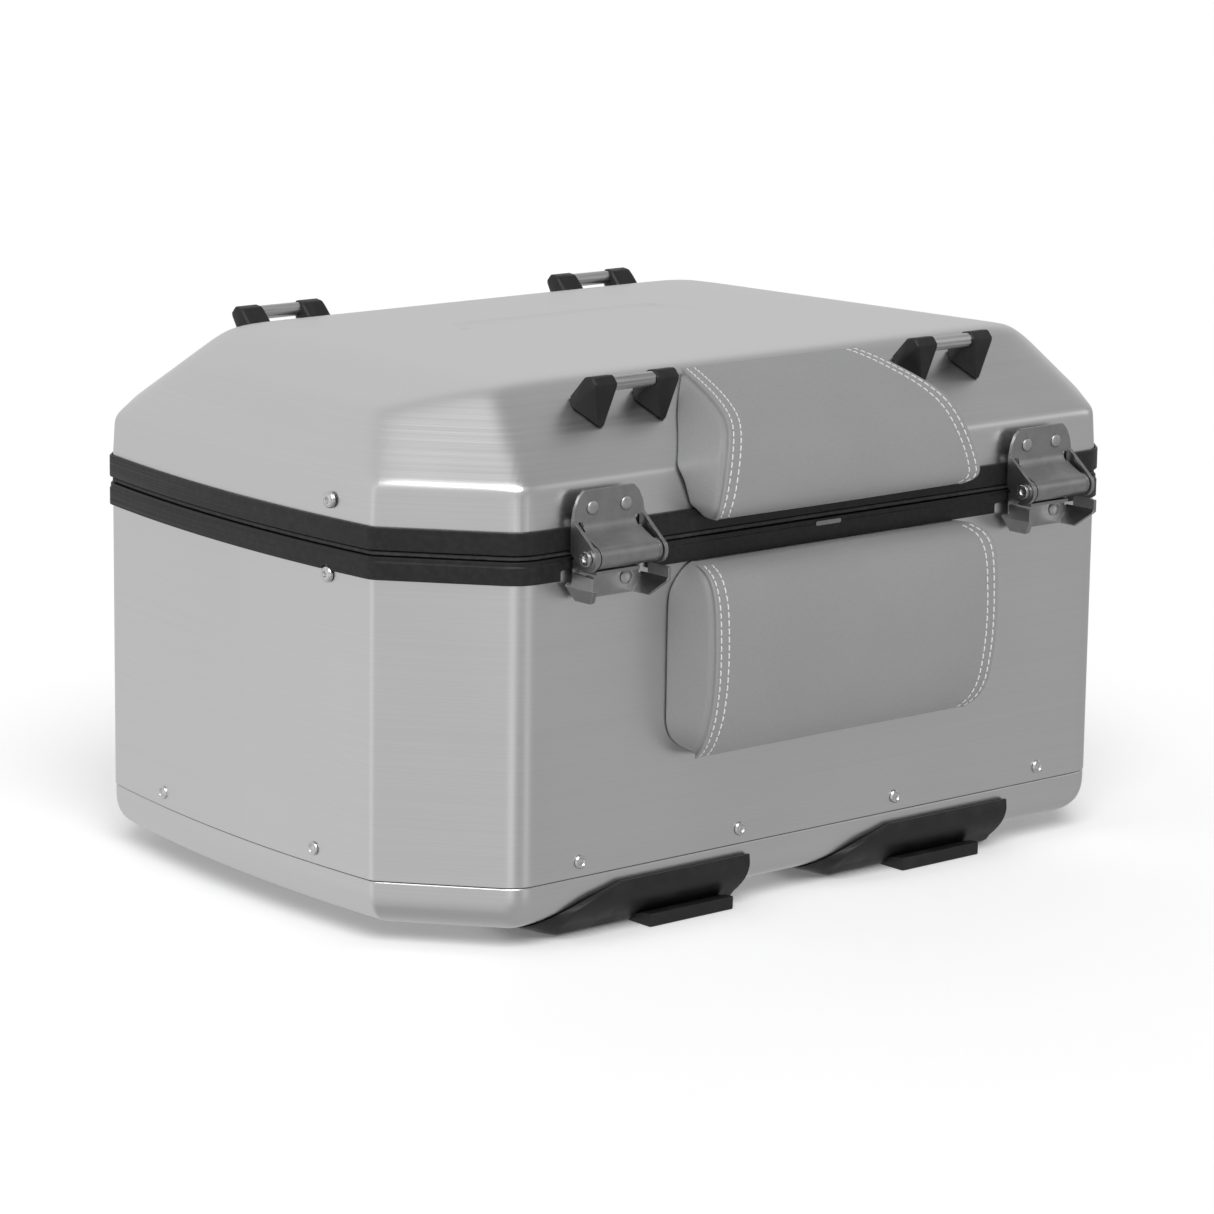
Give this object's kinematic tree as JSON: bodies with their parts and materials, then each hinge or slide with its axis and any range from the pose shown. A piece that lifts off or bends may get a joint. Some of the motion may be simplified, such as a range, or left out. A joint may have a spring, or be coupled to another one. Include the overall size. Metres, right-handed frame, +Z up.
{
  "type": "motorcycle top case",
  "caption": "Aluminium motorcycle top case: riveted tub with moulded feet, hinged faceted lid with tie-down loops, padded two-part backrest and rear lock.",
  "frame": {"origin": "on the ground plane under the centre of the case's bounding box", "axes": "+Z up, +X along the case's width, -Y towards the hinges and the backrest, +Y towards the lock"},
  "size_m": [0.5748, 0.45, 0.3184],
  "materials": {
    "brushed_aluminium": "fine satin brushing",
    "black_anodised_frame": "satin black anodised extrusion",
    "moulded_black_plastic": "fine moulded grain",
    "satin_steel": "dull satin with bright cut edges",
    "grey_leather": "smooth grained leather with double white stitching",
    "seal_rubber": "matt",
    "bright_rivet": "bright"
  },
  "bodies": {
    "case": {"bottom_pan": "brushed_aluminium", "foot_front_left": "moulded_black_plastic", "foot_front_right": "moulded_black_plastic", "foot_rear_left": "moulded_black_plastic", "foot_rear_right": "moulded_black_plastic", "hinge_lower_leaf_left": "satin_steel", "hinge_lower_leaf_right": "satin_steel", "hinge_pin_left": "bright_rivet", "hinge_pin_right": "bright_rivet", "hinge_rivet_lower_left_1": "bright_rivet", "hinge_rivet_lower_left_2": "bright_rivet", "hinge_rivet_lower_right_1": "bright_rivet", "hinge_rivet_lower_right_2": "bright_rivet", "lid_seal": "seal_rubber", "lock_housing": "moulded_black_plastic", "lower_backrest": "grey_leather", "tub_frame": "black_anodised_frame", "tub_rivet_front_1": "bright_rivet", "tub_rivet_front_2": "bright_rivet", "tub_rivet_front_3": "bright_rivet", "tub_rivet_front_4": "bright_rivet", "tub_rivet_left_1": "bright_rivet", "tub_rivet_left_2": "bright_rivet", "tub_rivet_right_1": "bright_rivet", "tub_rivet_right_2": "bright_rivet", "tub_screw_left": "bright_rivet", "tub_screw_right": "bright_rivet", "tub_wall": "brushed_aluminium"},
    "lid": {"front_left_loop_inner_block": "moulded_black_plastic", "front_left_loop_outer_block": "moulded_black_plastic", "front_left_loop_rod": "satin_steel", "front_right_loop_inner_block": "moulded_black_plastic", "front_right_loop_outer_block": "moulded_black_plastic", "front_right_loop_rod": "satin_steel", "hinge_packer_left": "moulded_black_plastic", "hinge_packer_right": "moulded_black_plastic", "hinge_rivet_upper_left_1": "bright_rivet", "hinge_rivet_upper_left_2": "bright_rivet", "hinge_rivet_upper_right_1": "bright_rivet", "hinge_rivet_upper_right_2": "bright_rivet", "hinge_upper_leaf_left": "satin_steel", "hinge_upper_leaf_right": "satin_steel", "lid_frame": "black_anodised_frame", "lid_screw_left": "bright_rivet", "lid_screw_right": "bright_rivet", "lid_shell": "brushed_aluminium", "lid_strike": "satin_steel", "rear_left_loop_inner_block": "moulded_black_plastic", "rear_left_loop_outer_block": "moulded_black_plastic", "rear_left_loop_rod": "satin_steel", "rear_right_loop_inner_block": "moulded_black_plastic", "rear_right_loop_outer_block": "moulded_black_plastic", "rear_right_loop_rod": "satin_steel", "upper_backrest": "grey_leather"},
    "latch": {"latch_lever": "moulded_black_plastic"},
    "key": {"lock_cylinder": "satin_steel"}
  },
  "joints": [
    {"name": "lid_hinge", "type": "hinge", "parent": "case", "child": "lid", "pos_m": [0, -0.2095, 0.2253], "axis": [1, 0, 0], "range_deg": [0, 85]},
    {"name": "latch_pivot", "type": "hinge", "parent": "case", "child": "latch", "pos_m": [0, 0.2166, 0.163], "axis": [1, 0, 0], "range_deg": [-55, 0]},
    {"name": "key_turn", "type": "hinge", "parent": "case", "child": "key", "pos_m": [0, 0.219, 0.14], "axis": [0, 1, 0], "range_deg": [0, 90]}
  ]
}
